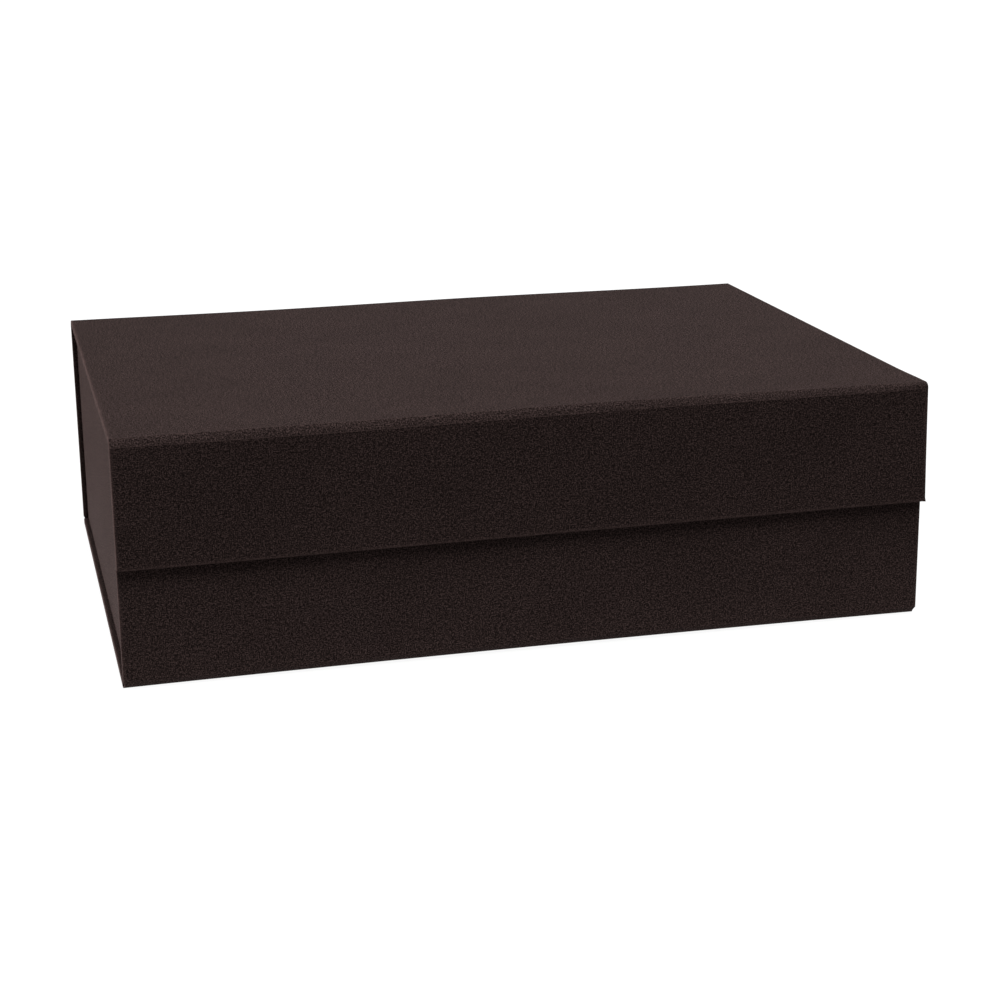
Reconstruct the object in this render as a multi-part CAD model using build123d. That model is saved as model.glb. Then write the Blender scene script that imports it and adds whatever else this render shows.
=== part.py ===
"""Gift box with a hinged lid and a magnetic front flap.

Panels of grey board sit in one folding strip: front wall, base, back wall, lid and flap. Each panel
has a wrap of textured paper outside and a liner inside, and paper hinge strips join the panels. Two
side walls stand on the base, a little inside the ends of the strip, and their ears are taped to the
front and back walls. X runs along the width, the front faces -Y and Z is up. Millimetres.
"""
import os

from build123d import *

# Driving dimensions of the closed box, measured over the paper.
WIDTH = 330.0
DEPTH = 240.0
HEIGHT = 100.0
FLAP_BOTTOM = 49.0  # height of the flap's lower edge above the table

# Sheet stock.
BOARD = 2.0  # grey board
PAPER = 0.25  # paper and its glue
TURN_IN = 15.0  # paper folded over a board's edge onto its inner face
LINER_MARGIN = 3.0  # turned-in paper left showing round a liner

# Folds. The paper spans a bevel between two boards, and this is each leg of that bevel.
HINGE_LEG = 3.1
HINGE_PAPER = 2 * PAPER  # wrap and liner stuck together in the gap between boards

# Clearances between panels that move on each other.
FLAP_GAP = 0.25
LID_GAP = 0.25

# Side walls and their ears.
SIDE_INSET = 2.2  # from the end of the strip to the side wall's outer face
EAR_WIDTH = 22.0
EAR_THICK = 1.0  # thin card with paper on both faces
EAR_END_GAP = 2.5  # the ear stops short of the wall's top and bottom
EAR_TAPER = 8.0  # how much lower the ear's free edge is at each end
TAPE_THICK = 0.15
TAPE_WIDTH = 10.0
TAPE_HEIGHT = 70.0
TAPE_EDGE_GAP = 2.0  # from the side wall's outer face to the tape

# Magnets in the flap and steel keepers in the front wall.
MAGNET_RADIUS = 6.0
MAGNET_GLUE_GAP = 0.05
MAGNET_SPACING = 210.0
MAGNET_RISE = 12.0  # centre above the flap's lower edge

# Worked out from the above.
HALF_WIDTH = WIDTH / 2
FLAP_FACE = -DEPTH / 2
BACK_FACE = DEPTH / 2
BARE_PANEL = PAPER + BOARD  # outer face to the board's inner face
TURNED_PANEL = BARE_PANEL + PAPER  # with turned-in paper
LINED_PANEL = TURNED_PANEL + PAPER  # with turned-in paper and liner
FRONT_FACE = FLAP_FACE + LINED_PANEL + FLAP_GAP
WALL_TOP = HEIGHT - LINED_PANEL - LID_GAP
FRONT_INSIDE = FRONT_FACE + LINED_PANEL  # liner surface behind the ears
BACK_INSIDE = BACK_FACE - LINED_PANEL
SIDE_FACE = HALF_WIDTH - SIDE_INSET
SIDE_FLOOR = TURNED_PANEL  # the side walls stand on the base's turned-in paper
SIDE_FRONT = FRONT_INSIDE + TAPE_THICK + EAR_THICK
SIDE_BACK = BACK_INSIDE - TAPE_THICK - EAR_THICK


def block(x, y, z):
    """A box between two limits on each axis, given in either order."""
    sizes = [abs(b - a) for a, b in (x, y, z)]
    middle = [(a + b) / 2 for a, b in (x, y, z)]
    return Pos(*middle) * Box(*sizes)


def disc_along_y(x, y, z, radius):
    """A round disc between two limits on Y."""
    flat = Rotation(90, 0, 0) * Cylinder(radius, abs(y[1] - y[0]))
    return Pos(x, (y[0] + y[1]) / 2, z) * flat


class Panel:
    """One wrapped board of the strip.

    The panel is drawn flat, with local Z running inwards from its outer face and local Y running
    from one fold, at 0, to the opposite edge, at span. That edge is a second fold, or a free edge
    with the paper turned in over it.
    """

    def __init__(self, origin, inward, x_dir, span, free_edge=False):
        self.place = Plane(origin=origin, x_dir=x_dir, z_dir=inward).location
        self.span = span
        self.free = 1 if free_edge else 0

    def layer(self, side_margin, edge_margin, inner, outer):
        """A plate of the panel's shape, kept in from its ends and its free edge."""
        half = HALF_WIDTH - side_margin
        return block((-half, half), (0, self.span - self.free * edge_margin), (inner, outer))

    def board(self):
        return self.place * self.layer(PAPER, PAPER, PAPER, BARE_PANEL)

    def wrap(self):
        """Outer sheet, folded over the ends and the free edge, and turned in."""
        envelope = self.layer(0, 0, 0, TURNED_PANEL)
        window = self.layer(TURN_IN, TURN_IN, BARE_PANEL, TURNED_PANEL)
        return self.place * (envelope - self.layer(PAPER, PAPER, PAPER, BARE_PANEL) - window)

    def liner(self, side_margin=LINER_MARGIN, step=PAPER):
        """Inner sheet, on the board in the middle and one step up over the turned-in paper."""
        middle = self.layer(TURN_IN, TURN_IN, BARE_PANEL, TURNED_PANEL)
        top = BARE_PANEL + step + PAPER
        border = self.layer(side_margin, LINER_MARGIN, BARE_PANEL + step, top)
        border -= self.layer(TURN_IN, TURN_IN, BARE_PANEL + step, top)
        riser = self.layer(TURN_IN, TURN_IN, BARE_PANEL, top)
        riser -= self.layer(TURN_IN + PAPER, TURN_IN + PAPER, BARE_PANEL, top)
        return self.place * (middle + riser + border)


LID = Panel((0, BACK_FACE - HINGE_LEG, HEIGHT), (0, 0, -1), (1, 0, 0), DEPTH - 2 * HINGE_LEG)
FLAP = Panel(
    (0, FLAP_FACE, HEIGHT - HINGE_LEG),
    (0, 1, 0),
    (1, 0, 0),
    HEIGHT - HINGE_LEG - FLAP_BOTTOM,
    free_edge=True,
)
BACK = Panel((0, BACK_FACE, HINGE_LEG), (0, -1, 0), (1, 0, 0), HEIGHT - 2 * HINGE_LEG)
BASE = Panel(
    (0, FRONT_FACE + HINGE_LEG, 0),
    (0, 0, 1),
    (1, 0, 0),
    BACK_FACE - FRONT_FACE - 2 * HINGE_LEG,
)
FRONT = Panel((0, FRONT_FACE, HINGE_LEG), (0, 1, 0), (-1, 0, 0), WALL_TOP - HINGE_LEG, free_edge=True)


def hinge_strip(corner_y, corner_z, along_y, along_z):
    """Paper across the gap between two boards that meet at a right angle.

    The corner is where the two outer faces would meet. along_y and along_z are the signs of the ways
    in which the flat and the upright board run from it.
    """
    upright = (corner_y, corner_z + along_z * HINGE_LEG)
    flat = (corner_y + along_y * HINGE_LEG, corner_z)
    skew = HINGE_PAPER * 2**0.5
    outline = Polyline(
        upright,
        flat,
        (flat[0], flat[1] + along_z * skew),
        (upright[0] + along_y * skew, upright[1]),
        close=True,
    )
    section = Plane.YZ * make_face(outline)
    return Pos(-HALF_WIDTH, 0, 0) * extrude(section, WIDTH, dir=(1, 0, 0))


def side_wall(side):
    """Board, wrap and liner of the side wall at the -X (side -1) or +X (side 1) end."""
    length = (SIDE_FRONT, SIDE_BACK)
    outer = side * SIDE_FACE
    board_out = side * (SIDE_FACE - PAPER)
    board_in = side * (SIDE_FACE - BARE_PANEL)
    turned = side * (SIDE_FACE - TURNED_PANEL)
    lined = side * (SIDE_FACE - LINED_PANEL)
    foot_end = side * (HALF_WIDTH - TURN_IN)
    turn_end = WALL_TOP - TURN_IN

    board = block((board_out, board_in), length, (SIDE_FLOOR + PAPER, WALL_TOP - PAPER))
    wrap = block((outer, board_out), length, (SIDE_FLOOR, WALL_TOP))
    wrap += block((outer, turned), length, (WALL_TOP - PAPER, WALL_TOP))
    wrap += block((board_in, turned), length, (turn_end, WALL_TOP))
    wrap += block((outer, foot_end), length, (SIDE_FLOOR, SIDE_FLOOR + PAPER))
    liner = block((board_in, turned), length, (SIDE_FLOOR + PAPER, turn_end))
    liner += block((turned, lined), length, (turn_end - PAPER, WALL_TOP - LINER_MARGIN))
    return board, wrap, liner


def ear(side, face, inward):
    """Tapered card tab that lies on the front or back wall, beside a side wall's end.

    face is the Y of the tab's face against the tape, and inward the sign of the way into the box.
    """
    low = SIDE_FLOOR + EAR_END_GAP
    high = WALL_TOP - EAR_END_GAP
    near = side * SIDE_FACE
    far = side * (SIDE_FACE - EAR_WIDTH)
    outline = Polyline(
        (near, low),
        (near, high),
        (far, high - EAR_TAPER),
        (far, low + EAR_TAPER),
        close=True,
    )
    tab = extrude(Plane.XZ * make_face(outline), EAR_THICK, dir=(0, inward, 0))
    return Pos(0, face, 0) * tab


def tape(side, face, inward):
    """Double-sided tape between an ear and the wall behind it."""
    near = side * (SIDE_FACE - TAPE_EDGE_GAP)
    middle = (SIDE_FLOOR + WALL_TOP) / 2
    return block(
        (near, near - side * TAPE_WIDTH),
        (face, face + inward * TAPE_THICK),
        (middle - TAPE_HEIGHT / 2, middle + TAPE_HEIGHT / 2),
    )


def strip_nodes():
    """Boards, wraps, liners and hinge strips of the folding strip."""
    nodes = {}
    for name, panel in (("lid", LID), ("flap", FLAP), ("back", BACK), ("base", BASE), ("front", FRONT)):
        nodes[f"{name}_board"] = panel.board()
        nodes[f"{name}_wrap"] = panel.wrap()
        nodes[f"{name}_liner"] = panel.liner()
    # The base liner ends at the side walls and also covers the paper feet that hold them.
    nodes["base_liner"] = BASE.liner(HALF_WIDTH - SIDE_FACE + TURNED_PANEL, step=2 * PAPER)
    nodes["lid_hinge_paper"] = hinge_strip(BACK_FACE, HEIGHT, -1, -1)
    nodes["flap_hinge_paper"] = hinge_strip(FLAP_FACE, HEIGHT, 1, -1)
    nodes["front_fold_paper"] = hinge_strip(FRONT_FACE, 0, 1, 1)
    nodes["back_fold_paper"] = hinge_strip(BACK_FACE, 0, -1, 1)
    return nodes


def side_nodes():
    """Side walls, and the ears and tapes that hold them to the front and back walls."""
    nodes = {}
    for name, side in (("left", -1), ("right", 1)):
        board, wrap, liner = side_wall(side)
        nodes[f"{name}_wall_board"] = board
        nodes[f"{name}_wall_wrap"] = wrap
        nodes[f"{name}_wall_liner"] = liner
        for end, face, inward in (("front", FRONT_INSIDE, 1), ("back", BACK_INSIDE, -1)):
            nodes[f"{end}_{name}_tape"] = tape(side, face, inward)
            nodes[f"{end}_{name}_ear"] = ear(side, face + inward * TAPE_THICK, inward)
    return nodes


def closure_nodes(nodes):
    """Punches the flap and front boards, and fills the holes with magnets and steel keepers."""
    height = FLAP_BOTTOM + MAGNET_RISE
    for name, side in (("left", -1), ("right", 1)):
        x = side * MAGNET_SPACING / 2
        for panel, part, face in (("flap", "magnet", FLAP_FACE), ("front", "keeper", FRONT_FACE)):
            span = (face + PAPER, face + BARE_PANEL)
            nodes[f"{panel}_board"] -= disc_along_y(x, span, height, MAGNET_RADIUS + MAGNET_GLUE_GAP)
            nodes[f"{panel}_{part}_{name}"] = disc_along_y(x, span, height, MAGNET_RADIUS)
    return nodes


def main():
    nodes = closure_nodes({**strip_nodes(), **side_nodes()})
    os.makedirs("parts", exist_ok=True)
    for name, shape in nodes.items():
        export_step(shape, f"parts/{name}.step")
    print(len(nodes), "nodes")


main()
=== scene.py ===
"""The looks of a rigid gift box: papered panels, folds, liners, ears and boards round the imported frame.

Every piece is built at rest in the row frame, in metres. The paper wraps are closed rounded shells over
the boards. One smooth field of small bows, bow(), is laid over every piece, so that seams stay shut, and
Panel.placed() adds what is out of square in the lid or the flap to all of that panel's pieces.
"""
import math

import bmesh
import bpy
import numpy as np
from mathutils import Matrix, Vector


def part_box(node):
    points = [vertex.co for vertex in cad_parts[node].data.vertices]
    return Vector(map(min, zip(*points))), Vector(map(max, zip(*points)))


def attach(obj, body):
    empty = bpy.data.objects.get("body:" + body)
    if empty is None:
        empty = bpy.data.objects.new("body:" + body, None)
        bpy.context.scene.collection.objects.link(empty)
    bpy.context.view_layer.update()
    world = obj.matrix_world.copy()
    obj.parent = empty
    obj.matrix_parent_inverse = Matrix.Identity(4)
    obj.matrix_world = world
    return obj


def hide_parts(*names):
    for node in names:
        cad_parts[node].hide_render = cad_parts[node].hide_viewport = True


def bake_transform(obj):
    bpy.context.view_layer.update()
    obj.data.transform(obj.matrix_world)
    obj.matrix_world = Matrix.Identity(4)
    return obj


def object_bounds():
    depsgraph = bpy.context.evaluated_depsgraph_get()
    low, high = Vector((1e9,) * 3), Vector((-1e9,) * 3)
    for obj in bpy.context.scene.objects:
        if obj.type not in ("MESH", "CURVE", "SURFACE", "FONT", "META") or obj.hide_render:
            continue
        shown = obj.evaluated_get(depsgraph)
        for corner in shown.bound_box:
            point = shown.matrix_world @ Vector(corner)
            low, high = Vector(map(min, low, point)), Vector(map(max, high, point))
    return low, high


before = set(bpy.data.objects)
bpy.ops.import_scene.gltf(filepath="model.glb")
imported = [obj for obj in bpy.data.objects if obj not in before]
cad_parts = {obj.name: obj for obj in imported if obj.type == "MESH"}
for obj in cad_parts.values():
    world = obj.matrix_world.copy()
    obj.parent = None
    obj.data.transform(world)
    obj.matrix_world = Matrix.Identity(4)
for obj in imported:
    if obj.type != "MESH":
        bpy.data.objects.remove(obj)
CAD_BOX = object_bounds()

MM = 0.001
X, Y, Z = 0, 1, 2
AXES = (X, Y, Z)
SAME = 1e-6  # places closer than this are the same
TINY = 1e-9  # a length too small to divide by
FAR = 1.0  # further than anything on the box

# Sheet stock, as in the CAD model.
PAPER = 0.25 * MM
TURN_IN = 15 * MM
FOLD_PAPER = 2 * PAPER
CORE_INSET = 0.3 * MM  # of a board's end from the creases beside it
MITRE_THICK = 0.14 * MM  # how far a mitred turn-in stands up
MITRE_INSET = 0.5 * MM

# Mesh detail.
WRAP_ROUNDING = 0.35 * MM  # of a board's edge under its paper
EAR_ROUNDING = 0.4 * MM
SHEET_ROUNDING = 0.1 * MM  # of a cut sheet's edge
MITRE_ROUNDING = 0.05 * MM
ARC_ANGLES = (0, 15, 30, 45)  # degrees, the steps of half a rounded edge
QUARTERS = (0.25, 0.5, 0.75, 1)
GRID_STEP = 9 * MM
GRID_DIGITS = 7  # to which grid lines are rounded, so that equal ones merge
WEAR_AND_HIGHLIGHT_REACH = 1.3 * MM  # of the wear along an edge, which is also a painted highlight
WEAR_AND_HIGHLIGHT_MIDDLE = 0.5 * MM  # a place within that reach
NARROWEST_WITH_WEAR_AND_HIGHLIGHT = 4 * MM  # a face narrower than this has no grid lines for the wear and painted highlight
SMOOTH_ANGLE = 50  # degrees, above which an edge is sharp
DROP = 1.5 * MM  # over which a sheet drops off the edge of another

# Folds: the paper leaves each panel at a crease and runs in an arc to the next.
CREASE_ANGLE = 30  # degrees that the paper turns at each crease
PINCH = 0.5 * MM  # by which the ends of the lower folds draw in
PINCH_SPAN = 8 * MM
FOLD_SEGMENTS = 14
FOLD_SMOOTH_ANGLE = 40
FOLD_CLEARANCE = 0.02 * MM  # that keeps a fold's ends from coming to a knife edge
FOLD_WEAVE = 2.2  # where the folds' paper starts on the roll

# The flap's free edge stands off the front wall a little, and its folded corners are thick.
FLARE = 0.5 * MM
CORNER_BULGE = 0.35 * MM
CORNER_SPAN = 1.6 * MM

# How the box bows: the base's arch has faded out at WAIST, and the lid's wave fades in from there up.
WAIST = 0.6  # as a share of the height
BASE_ARCH = 0.8 * MM
LID_WAVE = 0.22 * MM
LID_WAVES = 1.6  # across the width
LID_PHASE = 0.6  # radians

# How the box is out of square.
NARROW = 0.4 * MM  # by which its right end stands in
SKEW = 1.1 * MM  # by which the flap hangs higher at its right end
LEAN = 0.6 * MM  # of the flap's right edge, outwards at its foot
LIFT = 0.7 * MM  # of the lid's front edge in the middle
LIFT_FALL = 0.4  # how much of it is lost at the right end; at the left end all is
LIFT_SPAN = 28 * MM
SWELL = 0.7 * MM  # of the fold between lid and flap at its right end
SWELL_SPAN = 12 * MM

EAR_TAPER = 8 * MM  # by which an ear's top and bottom draw in at its free edge

# The paper's linen texture. Each noise runs from 0 to 1, and height is their weighted sum.
THREAD = 0.42 * MM  # the width of a thread
THREAD_LENGTH = 3 * THREAD
THREAD_WEIGHT = 0.5
SLUB = 11 * MM  # the length of a thick thread
SLUB_WEIGHT = 0.25
DARKEST, LIGHTEST = 0.95, 1.55  # heights
PEAK_POWER = 1.7  # above 1, light threads are sparser
SMOOTHEST, ROUGHEST = 1.7, 0.8  # heights
ROUGHNESS_SPREAD = 0.08
# The size of the patches of edge wear and painted edge highlight.
WEAR_AND_HIGHLIGHT_PATCH = (9 * MM, 9 * MM, 9 * MM)
CLOUD = (45 * MM, 30 * MM, 30 * MM)
CLOUD_RANGE = (0.3, 0.7)
CLOUD_SHADE = 0.06

# The other materials, with the size of each noise on each axis.
FIBRE = (0.3 * MM, 1.5 * MM, 0.3 * MM)
FLECK = (0.8 * MM, 0.8 * MM, 0.8 * MM)
FIBRE_RANGE = (0.7, 1.3)  # of fibre and fleck added up
BOARD_DARK, BOARD_LIGHT = (0.22, 0.21, 0.19), (0.42, 0.40, 0.37)
RIPPLE = (6 * MM, 1 * MM, 6 * MM)
TAPE_DARK, TAPE_LIGHT = (0.60, 0.57, 0.48), (0.78, 0.76, 0.68)
BRUSH = (3 * MM, 0.1 * MM, 0.1 * MM)
BRUSH_SPREAD = 0.08  # in roughness
BRUSH_SHADE = 0.85  # of the dark streaks, against the tint

HALF_WIDTH = CAD_BOX[1].x
HEIGHT = CAD_BOX[1].z


# ---------------------------------------------------------------- shape


def smooth(t):
    """0 below 0, 1 above 1, and a smooth step between."""
    t = np.clip(t, 0, 1)
    return t * t * (3 - 2 * t)


def bow(points):
    """Lays the box's small bows over points in the row frame."""
    p = np.array(points, float)
    across = p[:, X] / HALF_WIDTH
    arch = 1 - np.clip(across, -1, 1) ** 2
    low = smooth(1 - p[:, Z] / (WAIST * HEIGHT))
    high = smooth((p[:, Z] / HEIGHT - WAIST) / (1 - WAIST))
    p[:, X] -= NARROW * (across + 1) / 2
    p[:, Z] += BASE_ARCH * arch * low
    p[:, Z] += LID_WAVE * np.sin(LID_WAVES * math.pi * across + LID_PHASE) * high
    return p


def front_rise(across):
    """How high the lid's front edge rises, from its left end, -1, to its right end, 1."""
    return LIFT * (1 - np.clip(-across, 0, 1) ** 2 - LIFT_FALL * np.clip(across, 0, 1) ** 2)


def axis_lines(low, high, round_low, round_high, radius, cuts):
    """Grid coordinates along one axis: fine over rounded edges, even between them."""
    arc = [radius * math.tan(math.radians(a)) for a in ARC_ANGLES]
    start = low + radius if round_low else low
    end = high - radius if round_high else high
    lines = [low, high]
    lines += [start - a for a in arc] if round_low else []
    lines += [end + a for a in arc] if round_high else []
    steps = max(1, round((end - start) / GRID_STEP))
    lines += list(np.linspace(start, end, steps + 1))
    if end - start > NARROWEST_WITH_WEAR_AND_HIGHLIGHT:
        lines += [start + WEAR_AND_HIGHLIGHT_MIDDLE, start + WEAR_AND_HIGHLIGHT_REACH, end - WEAR_AND_HIGHLIGHT_REACH, end - WEAR_AND_HIGHLIGHT_MIDDLE]
    lines += [c for c in cuts if start < c < end]
    return np.unique(np.round(lines, GRID_DIGITS))


def surface_grid(lines):
    """Points and quads of a box's surface, with grid lines given for each axis."""
    size = [len(a) for a in lines]
    quads = []
    for axis in AXES:
        first, second = [a for a in AXES if a != axis]
        for end in (0, size[axis] - 1):
            a, b = np.meshgrid(range(size[first] - 1), range(size[second] - 1), indexing="ij")
            corners = []
            for da, db in ((0, 0), (1, 0), (1, 1), (0, 1)):
                ids = [None] * 3
                ids[axis] = np.full(a.size, end)
                ids[first] = a.ravel() + da
                ids[second] = b.ravel() + db
                corners.append((ids[X] * size[Y] + ids[Y]) * size[Z] + ids[Z])
            outward = (end > 0) == (axis != Y)
            quads.append(np.stack(corners if outward else corners[::-1], 1))
    quads = np.concatenate(quads)
    used, compact = np.unique(quads, return_inverse=True)
    i, rest = np.divmod(used, size[Y] * size[Z])
    j, k = np.divmod(rest, size[Z])
    points = np.stack([lines[X][i], lines[Y][j], lines[Z][k]], 1)
    return points, compact.reshape(quads.shape)


def rounded_box(low, high, radius, square=(), cuts=None):
    """A closed box with rounded edges, as its flat points, rounded points and quads.

    square holds (axis, sign) of the faces whose edges stay square.
    """
    low, high = np.array(low, float), np.array(high, float)
    is_round = [((a, -1) not in square, (a, 1) not in square) for a in AXES]
    cuts = cuts or {}
    lines = [axis_lines(low[a], high[a], *is_round[a], radius, cuts.get(a, ())) for a in AXES]
    flat, quads = surface_grid(lines)
    core_low = [low[a] + radius * is_round[a][0] for a in AXES]
    core_high = [high[a] - radius * is_round[a][1] for a in AXES]
    core = np.clip(flat, core_low, core_high)
    out = flat - core
    length = np.linalg.norm(out, axis=1)
    scale = np.divide(np.abs(out).max(1), length, out=np.ones_like(length), where=length > TINY)
    return flat, core + out * scale[:, None], quads


def edge_wear_and_highlight(flat, low, high, square):
    """How worn the paper is at points of a box, and how strong the highlight painted along its edges is: 1
    on its free edges and 0 a little way in.

    square holds (axis, sign) of the faces at folds, whose edges aren't free.
    """
    inset = []
    for axis in AXES:
        near_low = flat[:, axis] - low[axis] + FAR * ((axis, -1) in square)
        near_high = high[axis] - flat[:, axis] + FAR * ((axis, 1) in square)
        inset.append(np.minimum(near_low, near_high))
    to_edge = np.sort(inset, axis=0)[1]
    return 1 - np.clip(to_edge / WEAR_AND_HIGHLIGHT_REACH, 0, 1)


def make_piece(name, points, faces, sheet, smooth_angle=SMOOTH_ANGLE, wear_and_highlight=None):
    """A mesh object.

    sheet is each point's place on the flat paper, which the weave follows, and the last argument how worn
    each point is and how strong a highlight is painted there.
    """
    mesh = bpy.data.meshes.new(name)
    mesh.from_pydata([tuple(p) for p in points], [], [tuple(int(i) for i in f) for f in faces])
    mesh.update()
    attribute = mesh.attributes.new("sheet", "FLOAT_VECTOR", "POINT")
    attribute.data.foreach_set("vector", np.array(sheet, np.float32).ravel())
    if wear_and_highlight is not None:
        attribute = mesh.attributes.new("wear_and_highlight", "FLOAT", "POINT")
        attribute.data.foreach_set("value", np.array(wear_and_highlight, np.float32))
    mesh.shade_smooth()
    mesh.set_sharp_from_angle(angle=math.radians(smooth_angle))
    piece = bpy.data.objects.new(name, mesh)
    bpy.context.scene.collection.objects.link(piece)
    return piece


def dress(piece, body, material, slot, *nodes):
    """Gives a piece its material and body, and hides the CAD nodes that it stands for."""
    piece.data.materials.append(material)
    if body:
        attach(piece, body)
    if nodes:
        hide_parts(*nodes)
    return piece


class Panel:
    """A board of the box and its papers.

    thick is the axis through the board, and outer the sign of its outer side on that axis. turned
    holds (axis, sign) of the edges where the paper is turned in; the other edges are folds.
    """

    def __init__(self, name, body, thick, outer, turned, weave_shift, liner_drop=PAPER, bulge=0.0):
        self.name, self.body = name, body
        self.thick, self.outer, self.turned = thick, outer, turned
        self.plane = [a for a in AXES if a != thick]
        self.weave_shift = weave_shift
        self.liner_drop = liner_drop
        self.bulge = bulge
        low, high = (np.array(c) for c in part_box(f"{name}_board"))
        low[thick] -= PAPER
        high[thick] += PAPER
        for axis, sign in turned:
            if sign < 0:
                low[axis] -= PAPER
            else:
                high[axis] += PAPER
        self.low, self.high = low, high
        self.thickness = high[thick] - low[thick]
        self.folds = [(a, s) for a in self.plane for s in (-1, 1) if (a, s) not in turned]

    def edge(self, axis, sign):
        """Where the panel ends on one side of an axis."""
        return self.high[axis] if sign > 0 else self.low[axis]

    def depth(self, points):
        """How far points lie inwards from the outer face."""
        return (self.edge(self.thick, self.outer) - points[:, self.thick]) * self.outer

    def from_turned(self, points):
        """Each point's distance from every edge with turned-in paper."""
        return np.stack([(self.edge(a, s) - points[:, a]) * s for a, s in self.turned], 1)

    def sink(self, points):
        """How far inside the turned-in paper a sheet has dropped onto the board, from 0 to 1."""
        return smooth((self.from_turned(points).min(1) - TURN_IN) / DROP)

    def cuts(self):
        """Grid lines where the sheets drop off the turned-in paper."""
        cuts = {a: [] for a in AXES}
        for axis, sign in self.turned:
            for share in (0, *QUARTERS):
                cuts[axis].append(self.edge(axis, sign) - sign * (TURN_IN + share * DROP))
        return cuts

    def sheet(self, points):
        """Places on the flat paper, which runs over the turned edges and back on the inner face."""
        place = points[:, [*self.plane, self.thick]].copy()
        place[:, 2] = 0
        depth = self.depth(points)
        distance = self.from_turned(points)
        nearest = distance.argmin(1)
        inside = depth > self.thickness - SAME
        for n, (axis, sign) in enumerate(self.turned):
            column = self.plane.index(axis)
            here = nearest == n
            back = here & inside
            over = here & ~inside & (distance[:, n] < WRAP_ROUNDING)
            place[back, column] = self.edge(axis, sign) + sign * (self.thickness + distance[back, n])
            place[over, column] += sign * depth[over]
        place[:, 1] += self.weave_shift
        return place

    def placed(self, points):
        """Points with the box's bows, and what is out of square in this panel."""
        p = bow(points)
        across = p[:, X] / HALF_WIDTH
        if self.name == "lid":
            p[:, Z] += front_rise(across) * smooth(1 - (p[:, Y] - self.low[Y]) / LIFT_SPAN)
        if self.name == "flap":
            down = np.clip((self.high[Z] - p[:, Z]) / (self.high[Z] - self.low[Z]), 0, 1)
            p[:, X] += LEAN * np.maximum(across, 0) * down
            p[:, Y] -= FLARE * down**2
            p[:, Z] += SKEW * (across + 1) / 2
        return p

    def bulged(self, flat, points):
        """Points pushed out where the paper is folded thick at the free edge's corners."""
        points = points.copy()
        free, free_sign = self.turned[-1]
        for sign in (-1, 1):
            offsets = (self.edge(X, sign) - flat[:, X], self.edge(free, free_sign) - flat[:, free])
            near = self.bulge * smooth(1 - np.hypot(*offsets) / CORNER_SPAN)
            points[:, X] += sign * near
            points[:, free] += free_sign * near / 2
        return points

    def make_wrap(self, material):
        """The outer paper with its turned-in edges, closed over the board."""
        flat, points, quads = rounded_box(self.low, self.high, WRAP_ROUNDING, self.folds, self.cuts())
        inner = self.depth(flat) > self.thickness - SAME
        points[inner, self.thick] += self.outer * PAPER * self.sink(flat[inner])
        if self.bulge:
            points = self.bulged(flat, points)
        # Wear along the free edges, which also paints a highlight there.
        wear_and_highlight = edge_wear_and_highlight(flat, self.low, self.high, self.folds)
        piece = make_piece(f"{self.name}_paper", self.placed(points), quads, self.sheet(flat), wear_and_highlight=wear_and_highlight)
        return dress(piece, self.body, material, "outer_paper", f"{self.name}_wrap")

    def make_liner(self, material):
        """The inner sheet, which shows the edge of the turned-in paper through it."""
        low, high = (np.array(c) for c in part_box(f"{self.name}_liner"))
        face = low[self.thick] if self.outer > 0 else high[self.thick]
        low[self.thick], high[self.thick] = sorted((face, face + self.outer * PAPER))
        flat, points, quads = rounded_box(low, high, SHEET_ROUNDING, (), self.cuts())
        points[:, self.thick] += self.outer * self.liner_drop * self.sink(flat)
        place = flat[:, [*self.plane, self.thick]]
        piece = make_piece(f"{self.name}_lining", self.placed(points), quads, place)
        return dress(piece, self.body, material, "inner_paper", f"{self.name}_liner")

    def make_mitre(self, material):
        """The free edge's turned-in paper, which lies over the ends' and is cut at 45 degrees."""
        axis, sign = self.turned[-1]
        inner = self.edge(self.thick, -self.outer)
        low, high = self.low.copy(), self.high.copy()
        low[self.thick], high[self.thick] = sorted((inner, inner - self.outer * MITRE_THICK))
        near = self.edge(axis, sign) - sign * MITRE_INSET
        low[axis], high[axis] = sorted((near, near - sign * (TURN_IN - 2 * MITRE_INSET)))
        flat, points, quads = rounded_box(low, high, MITRE_ROUNDING)
        distance = (self.edge(axis, sign) - points[:, axis]) * sign
        points[:, X] *= 1 - distance / HALF_WIDTH
        place = flat[:, [X, axis, axis]]
        piece = make_piece(f"{self.name}_mitred_turn_in", self.placed(points), quads, place)
        return dress(piece, self.body, material, "outer_paper")


def make_core(panel, material):
    """The panel's board, from its CAD mesh, bowed as its papers are."""
    name = f"{panel.name}_core"
    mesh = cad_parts[f"{panel.name}_board"].data.copy()
    mesh.materials.clear()
    grid = bmesh.new()
    grid.from_mesh(mesh)
    for axis in panel.plane:
        normal = Vector([float(a == axis) for a in AXES])
        for place in np.arange(panel.low[axis] + GRID_STEP, panel.high[axis], GRID_STEP):
            everything = grid.verts[:] + grid.edges[:] + grid.faces[:]
            bmesh.ops.bisect_plane(grid, geom=everything, plane_co=normal * place, plane_no=normal)
    grid.to_mesh(mesh)
    grid.free()
    points = np.array([v.co for v in mesh.vertices])
    for axis, sign in panel.folds:
        edge = panel.edge(axis, sign)
        limits = (-FAR, edge - CORE_INSET) if sign > 0 else (edge + CORE_INSET, FAR)
        points[:, axis] = np.clip(points[:, axis], *limits)
    mesh.vertices.foreach_set("co", panel.placed(points).ravel())
    mesh.name = name
    piece = bpy.data.objects.new(name, mesh)
    bpy.context.scene.collection.objects.link(piece)
    return dress(piece, panel.body, material, "grey_board", f"{panel.name}_board")


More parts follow.
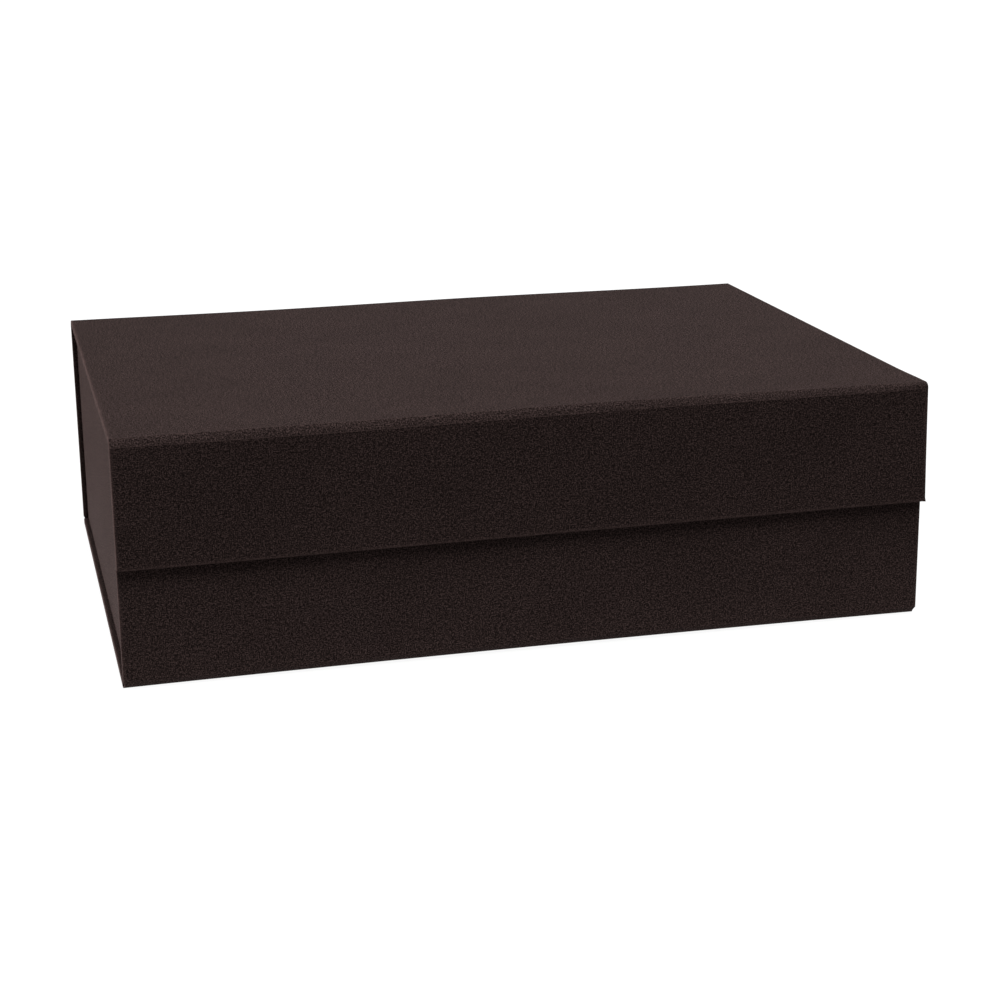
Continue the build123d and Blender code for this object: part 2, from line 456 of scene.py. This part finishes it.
def make_fold(name, first, second, first_normal, second_normal, pinch, rise, skew, swell):
    """Paper across a corner, from the crease first to the crease second, both given as (y, z).

    pinch is how far the fold's ends draw in. rise gives how high the second crease rises along its length,
    skew is how far the first one rises at its right end, and swell how far the fold's right end stands out.
    """
    first, second = np.array(first), np.array(second)
    middle = (first + second) / 2
    chord = second - first
    half_angle = math.radians(90 - 2 * CREASE_ANGLE) / 2
    radius = np.linalg.norm(chord) / 2 / math.sin(half_angle)
    tangent = chord / np.linalg.norm(chord)
    normal = np.array(first_normal, float) + second_normal
    normal /= np.linalg.norm(normal)
    centre = middle - normal * radius * math.cos(half_angle)

    # Stations along X, with the outer face's drop over the rounded ends.
    full = HALF_WIDTH - WRAP_ROUNDING
    inside = np.linspace(-full, full, round(2 * full / GRID_STEP) + 1)
    last = max(0.0, WRAP_ROUNDING - FOLD_PAPER + FOLD_CLEARANCE)
    ends = [math.degrees(math.acos(last / WRAP_ROUNDING)) * s for s in QUARTERS]
    over = [full + WRAP_ROUNDING * math.sin(math.radians(a)) for a in ends]
    drops = [WRAP_ROUNDING * (1 - math.cos(math.radians(a))) for a in ends]
    stations = [-x for x in over[::-1]] + list(inside) + over
    drop = drops[::-1] + [0.0] * len(inside) + drops

    angles = np.linspace(-half_angle, half_angle, FOLD_SEGMENTS + 1)
    section = [(a, 1) for a in angles] + [(a, 0) for a in angles[::-1]]
    points, sheet, wear_and_highlight = [], [], []
    for x, fall in zip(stations, drop):
        for angle, outside in section:
            share = (angle / half_angle + 1) / 2
            between = math.sin(math.pi * share)
            drawn_in = pinch * between * smooth(1 - (full - abs(x)) / PINCH_SPAN)
            swollen = swell * between * smooth(1 - (full - x) / SWELL_SPAN)
            r = radius + swollen - (fall if outside else FOLD_PAPER)
            y, z = centre + r * (math.sin(angle) * tangent + math.cos(angle) * normal)
            across = x / HALF_WIDTH
            z += rise(across) * share + skew * (across + 1) / 2 * (1 - share)
            points.append((x - math.copysign(drawn_in, x), y, z))
            sheet.append((x, radius * angle + FOLD_WEAVE, 0))
            # The outside of each crease and the ends are marked for wear, which also paints a highlight
            # there.
            wear_and_highlight.append(float(outside and (abs(angle) == half_angle or abs(x) > full)))
    ring = len(section)
    faces = []
    for s in range(len(stations) - 1):
        for i in range(ring):
            j = (i + 1) % ring
            faces.append((s * ring + i, s * ring + j, (s + 1) * ring + j, (s + 1) * ring + i))
    last_ring = (len(stations) - 1) * ring
    for i in range(FOLD_SEGMENTS):
        faces.append((i + 1, i, ring - 1 - i, ring - 2 - i))
        end_face = (i, i + 1, ring - 2 - i, ring - 1 - i)
        faces.append([last_ring + corner for corner in end_face])
    piece = make_piece(name, bow(points), faces, sheet, FOLD_SMOOTH_ANGLE, wear_and_highlight)
    grid = bmesh.new()
    grid.from_mesh(piece.data)
    bmesh.ops.recalc_face_normals(grid, faces=grid.faces)
    grid.to_mesh(piece.data)
    grid.free()
    return piece


def make_ear(side_name, end_name, material):
    """A tapered card tab, covered in paper, taped to the front or back wall."""
    node = f"{end_name}_{side_name}_ear"
    low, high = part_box(node)
    flat, points, quads = rounded_box(low, high, EAR_ROUNDING)
    side = -1 if side_name == "left" else 1
    near = high.x if side > 0 else low.x
    share = (near - points[:, X]) * side / (high.x - low.x)
    middle = (low.z + high.z) / 2
    half = (high.z - low.z) / 2
    points[:, Z] = middle + (points[:, Z] - middle) * (1 - share * EAR_TAPER / half)
    piece = make_piece(f"{node}_card", bow(points), quads, flat[:, [X, Z, Y]])
    return dress(piece, "tray", material, "outer_paper", node)


# ---------------------------------------------------------------- materials


class Nodes:
    """A short way to write a material's node tree."""

    def __init__(self, name):
        self.material = bpy.data.materials.new(name)
        self.material.use_nodes = True
        self.tree = self.material.node_tree
        self.shader = self.tree.nodes["Principled BSDF"]

    def put(self, value, socket):
        """Sets a socket to a value, or links another socket to it."""
        if isinstance(value, bpy.types.NodeSocket):
            self.tree.links.new(value, socket)
        else:
            socket.default_value = value

    def add(self, kind, values, **settings):
        """Adds a node. values maps input names or numbers to values or sockets."""
        node = self.tree.nodes.new(f"ShaderNode{kind}")
        for key, value in settings.items():
            setattr(node, key, value)
        for key, value in values.items():
            self.put(value, node.inputs[key])
        return node

    def math(self, operation, a, b=0.0):
        return self.add("Math", {0: a, 1: b}, operation=operation).outputs[0]

    def noise(self, place, stretch, detail=2.0):
        """Noise whose grains measure stretch, in metres, on each axis."""
        scaled = self.add("VectorMath", {0: place, 1: [1 / s for s in stretch]}, operation="MULTIPLY")
        values = {"Vector": scaled.outputs[0], "Scale": 1.0, "Detail": detail}
        return self.add("TexNoise", values).outputs[0]

    def spread(self, value, source, target):
        """Maps a value from one (low, high) range to another, and clamps it there."""
        ends = {"From Min": source[0], "From Max": source[1], "To Min": target[0], "To Max": target[1]}
        return self.add("MapRange", {"Value": value, **ends}, clamp=True).outputs["Result"]

    def blend(self, share, first, second):
        """Mixes two colours, each given as (r, g, b) or as a socket."""
        colours = [c if isinstance(c, bpy.types.NodeSocket) else (*c, 1) for c in (first, second)]
        return self.add("Mix", {0: share, 6: colours[0], 7: colours[1]}, data_type="RGBA").outputs[2]

    def finish(self, **values):
        """Sets the shader's inputs, named with _ for spaces, and returns the material."""
        for key, value in values.items():
            self.put(value, self.shader.inputs[key.replace("_", " ")])
        return self.material


def make_paper(name, light, dark, relief, grain, roughness):
    """Linen-textured paper: fine uneven threads both ways, lighter where they stand up, and lighter along
    worn edges, which is also a painted highlight.

    relief is the depth of the texture and grain the size of its pebbles.
    """
    n = Nodes(name)
    place = n.add("Attribute", {}, attribute_name="sheet").outputs["Vector"]
    wear_and_highlight = n.add("Attribute", {}, attribute_name="wear_and_highlight").outputs["Fac"]
    warp = n.noise(place, (THREAD, THREAD_LENGTH, THREAD), detail=0.0)
    weft = n.noise(place, (THREAD_LENGTH, THREAD, THREAD), detail=0.0)
    slubs = n.math("ADD", n.noise(place, (THREAD, SLUB, THREAD)), n.noise(place, (SLUB, THREAD, THREAD)))
    pebble = n.noise(place, (grain, grain, grain), detail=0.0)
    threads = n.math("MULTIPLY", n.math("ADD", warp, weft), THREAD_WEIGHT)
    threads = n.math("ADD", threads, n.math("MULTIPLY", slubs, SLUB_WEIGHT))
    height = n.math("ADD", threads, pebble)
    peaks = n.math("POWER", n.spread(height, (DARKEST, LIGHTEST), (0, 1)), PEAK_POWER)
    colour = n.blend(peaks, dark, light)
    # Towards the light colour along free edges and creases: partly rubbed wear, partly a painted highlight.
    wear_and_highlight_share = n.math("MULTIPLY", wear_and_highlight, n.noise(place, WEAR_AND_HIGHLIGHT_PATCH, detail=3.0))
    colour = n.blend(wear_and_highlight_share, colour, light)
    shade = n.spread(n.noise(place, CLOUD), CLOUD_RANGE, (1 - CLOUD_SHADE, 1 + CLOUD_SHADE))
    shaded = n.add("VectorMath", {0: colour, 3: shade}, operation="SCALE").outputs[0]
    rough_ends = (roughness + ROUGHNESS_SPREAD, roughness - ROUGHNESS_SPREAD)
    rough = n.spread(height, (ROUGHEST, SMOOTHEST), rough_ends)
    bump = n.add("Bump", {"Height": height, "Distance": relief, "Strength": 1.0}).outputs["Normal"]
    return n.finish(Base_Color=shaded, Roughness=rough, Normal=bump, Specular_IOR_Level=0.02)


def make_board_material():
    """Grey board: pressed fibres with pale and dark flecks."""
    n = Nodes("grey_board")
    place = n.add("TexCoord", {}).outputs["Object"]
    mixed = n.math("ADD", n.noise(place, FIBRE, detail=3.0), n.noise(place, FLECK, detail=1.0))
    colour = n.blend(n.spread(mixed, FIBRE_RANGE, (0, 1)), BOARD_DARK, BOARD_LIGHT)
    bump = n.add("Bump", {"Height": mixed, "Distance": 0.1 * MM}).outputs["Normal"]
    return n.finish(Base_Color=colour, Normal=bump, Roughness=0.95)


def make_tape_material():
    """Double-sided tape: pale, slightly glossy, with faint ripples."""
    n = Nodes("adhesive_tape")
    place = n.add("TexCoord", {}).outputs["Object"]
    ripple = n.noise(place, RIPPLE)
    colour = n.blend(ripple, TAPE_DARK, TAPE_LIGHT)
    bump = n.add("Bump", {"Height": ripple, "Distance": 0.05 * MM}).outputs["Normal"]
    return n.finish(Base_Color=colour, Normal=bump, Roughness=0.35)


def make_metal(name, tint, roughness):
    """Plated or bare metal, finely brushed."""
    n = Nodes(name)
    place = n.add("TexCoord", {}).outputs["Object"]
    brushed = n.noise(place, BRUSH)
    rough = n.spread(brushed, (0, 1), (roughness - BRUSH_SPREAD, roughness + BRUSH_SPREAD))
    shade = n.blend(brushed, [BRUSH_SHADE * c for c in tint], tint)
    return n.finish(Base_Color=shade, Roughness=rough, Metallic=1.0)


# ---------------------------------------------------------------- the box

OUTER = make_paper(
    "outer_paper",
    light=(0.0743, 0.0487, 0.0456),
    dark=(0.0070, 0.0046, 0.0042),
    relief=0.05 * MM,
    grain=0.46 * MM,
    roughness=0.75,
)
INNER = make_paper(
    "inner_paper",
    light=(0.050, 0.036, 0.033),
    dark=(0.024, 0.017, 0.015),
    relief=0.02 * MM,
    grain=0.3 * MM,
    roughness=0.78,
)
BOARD = make_board_material()
TAPE = make_tape_material()
MAGNET = make_metal("magnet", (0.62, 0.61, 0.60), 0.3)
STEEL = make_metal("keeper_steel", (0.50, 0.50, 0.51), 0.42)

ENDS = [(X, -1), (X, 1)]
PANELS = [
    # name, body, axis and side of the outer face, turned-in edges, where its paper starts on the roll
    Panel("lid", "lid", Z, 1, ENDS, 0.0),
    Panel("flap", "flap", Y, -1, [*ENDS, (Z, -1)], 0.31, bulge=CORNER_BULGE),
    Panel("back", "tray", Y, 1, ENDS, 0.62),
    Panel("base", "tray", Z, -1, ENDS, 0.93, liner_drop=2 * PAPER),
    Panel("front", "tray", Y, -1, [*ENDS, (Z, 1)], 1.24),
    Panel("left_wall", "tray", X, -1, [(Z, 1)], 1.55),
    Panel("right_wall", "tray", X, 1, [(Z, 1)], 1.86),
]

for panel in PANELS:
    panel.make_wrap(OUTER)
    panel.make_liner(INNER)
    make_core(panel, BOARD)
    if len(panel.turned) == 3:
        panel.make_mitre(OUTER)

for side_name in ("left", "right"):
    for end_name in ("front", "back"):
        make_ear(side_name, end_name, OUTER)


def crease(node, y_sign, z_sign, on_upright):
    """The crease of a fold as (y, z): on the upright panel, or else on the flat one."""
    low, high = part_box(node)
    outer_y, inner_y = (high.y, low.y) if y_sign > 0 else (low.y, high.y)
    outer_z, inner_z = (high.z, low.z) if z_sign > 0 else (low.z, high.z)
    return (outer_y, inner_z) if on_upright else (inner_y, outer_z)


def level_crease(across):
    """The rise of a crease that runs level."""
    return 0.0


FOLDS = [
    # node, signs of the corner in y and z, bodies of the upright and the flat panel, then pinch,
    # rise, skew and swell
    ("lid_hinge_paper", 1, 1, "tray", "lid", (0.0, level_crease, 0.0, 0.0)),
    ("flap_hinge_paper", -1, 1, "flap", "lid", (0.0, front_rise, SKEW, SWELL)),
    ("front_fold_paper", -1, -1, "tray", "tray", (PINCH, level_crease, 0.0, 0.0)),
    ("back_fold_paper", 1, -1, "tray", "tray", (PINCH, level_crease, 0.0, 0.0)),
]

for node, y_sign, z_sign, upright_body, flat_body, form in FOLDS:
    upright = crease(node, y_sign, z_sign, True)
    level = crease(node, y_sign, z_sign, False)
    fold = make_fold(f"{node}_strip", upright, level, (y_sign, 0), (0, z_sign), *form)
    if upright_body == flat_body:
        dress(fold, "tray", OUTER, "outer_paper", node)
    else:
        dress(fold, None, OUTER, "outer_paper", node)
        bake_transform(fold)

# The tapes, magnets and keepers keep their CAD meshes.
for node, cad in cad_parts.items():
    if not cad.hide_render:
        finish = TAPE if node.endswith("_tape") else MAGNET if "magnet" in node else STEEL
        cad.data.materials.clear()
        cad.data.materials.append(finish)

# ---------------------------------------------------------------- studio

CAMERA_PLACE = Vector((-0.2112, -0.9046, 0.2983))
CAMERA_AZIMUTH, CAMERA_ELEVATION, CAMERA_ROLL = (math.radians(a) for a in (-14.00, 16.08, -0.65))
SENSOR = 36.0
LENS = 77.4

FLOOR_HALF = 12.0
FLOOR_SHADE = 0.12
FLOOR_GLOW = 0.93  # as the camera sees it
NEAR_GLOW = 0.6  # what the floor gives the box, close by
FAR_GLOW = 0.05
GLOW_REACH = 0.13  # from the box to where the floor's light has fallen to FAR_GLOW
WORLD_GLOW = 0.05
WORLD_SEEN = 1.0

LIGHTS = [
    # name, the way it shines, strength, angular size in degrees
    ("left_light", (1.0, -0.12, -0.14), 6.6, 30),
    ("back_top_light", (-0.30, -0.58, -1.0), 1.9, 60),
    ("front_top_light", (-0.22, 0.47, -1.0), 2.1, 36),
]


def make_camera():
    """The camera at the studio's viewing angle."""
    azimuth, elevation, roll = CAMERA_AZIMUTH, CAMERA_ELEVATION, CAMERA_ROLL
    back = Vector((math.sin(azimuth) * math.cos(elevation), -math.cos(azimuth) * math.cos(elevation),
                   math.sin(elevation)))
    level = Vector((math.cos(azimuth), math.sin(azimuth), 0))
    upright = back.cross(level)
    right = level * math.cos(roll) + upright * math.sin(roll)
    up = upright * math.cos(roll) - level * math.sin(roll)
    data = bpy.data.cameras.new("camera")
    data.lens, data.sensor_width = LENS, SENSOR
    data.clip_start, data.clip_end = 0.01, 100
    camera = bpy.data.objects.new("camera", data)
    bpy.context.scene.collection.objects.link(camera)
    camera.matrix_world = Matrix.Translation(CAMERA_PLACE) @ Matrix((right, up, back)).transposed().to_4x4()
    bpy.context.scene.camera = camera


def make_sun(name, direction, strength, spread):
    """A soft distant light that shines along direction. spread is its angular size in degrees."""
    data = bpy.data.lights.new(name, "SUN")
    data.energy, data.angle = strength, math.radians(spread)
    light = bpy.data.objects.new(name, data)
    bpy.context.scene.collection.objects.link(light)
    light.rotation_mode = "QUATERNION"
    light.rotation_quaternion = Vector(direction).to_track_quat("-Z", "Y")


def make_world():
    """White to the eye, dim as a light."""
    world = bpy.data.worlds.new("studio")
    bpy.context.scene.world = world
    world.use_nodes = True
    tree = world.node_tree
    background = tree.nodes["Background"]
    ray = tree.nodes.new("ShaderNodeLightPath")
    mix = tree.nodes.new("ShaderNodeMix")
    tree.links.new(ray.outputs["Is Camera Ray"], mix.inputs["Factor"])
    mix.inputs["A"].default_value = WORLD_GLOW
    mix.inputs["B"].default_value = WORLD_SEEN
    tree.links.new(mix.outputs["Result"], background.inputs["Strength"])
    background.inputs["Color"].default_value = (1, 1, 1, 1)


def make_floor():
    """A wide white floor, which lights the box only from close by."""
    mesh = bpy.data.meshes.new("floor")
    corners = [(x * FLOOR_HALF, y * FLOOR_HALF, 0) for x, y in ((-1, -1), (1, -1), (1, 1), (-1, 1))]
    mesh.from_pydata(corners, [], [(0, 1, 2, 3)])
    floor = bpy.data.objects.new("floor", mesh)
    bpy.context.scene.collection.objects.link(floor)
    n = Nodes("floor")
    place = n.add("NewGeometry", {}).outputs["Position"]
    # How far a place is off the box's footprint.
    off = n.add("VectorMath", {0: place}, operation="ABSOLUTE").outputs[0]
    off = n.add("VectorMath", {0: off, 1: (*CAD_BOX[1].xy, 1)}, operation="SUBTRACT").outputs[0]
    off = n.add("VectorMath", {0: off, 1: (0, 0, 0)}, operation="MAXIMUM").outputs[0]
    away = n.add("VectorMath", {0: off}, operation="LENGTH").outputs["Value"]
    given = n.spread(away, (0, GLOW_REACH), (NEAR_GLOW, FAR_GLOW))
    seen = n.add("LightPath", {}).outputs["Is Camera Ray"]
    glow = n.add("Mix", {0: seen, 2: given, 3: FLOOR_GLOW}).outputs[0]
    floor.data.materials.append(
        n.finish(
            Base_Color=(FLOOR_SHADE, FLOOR_SHADE, FLOOR_SHADE, 1),
            Roughness=0.9,
            Specular_IOR_Level=0.1,
            Emission_Color=(1, 1, 1, 1),
            Emission_Strength=glow,
        )
    )


make_camera()
make_world()
make_floor()
for light in LIGHTS:
    make_sun(*light)
bpy.context.scene.view_settings.view_transform = "Standard"
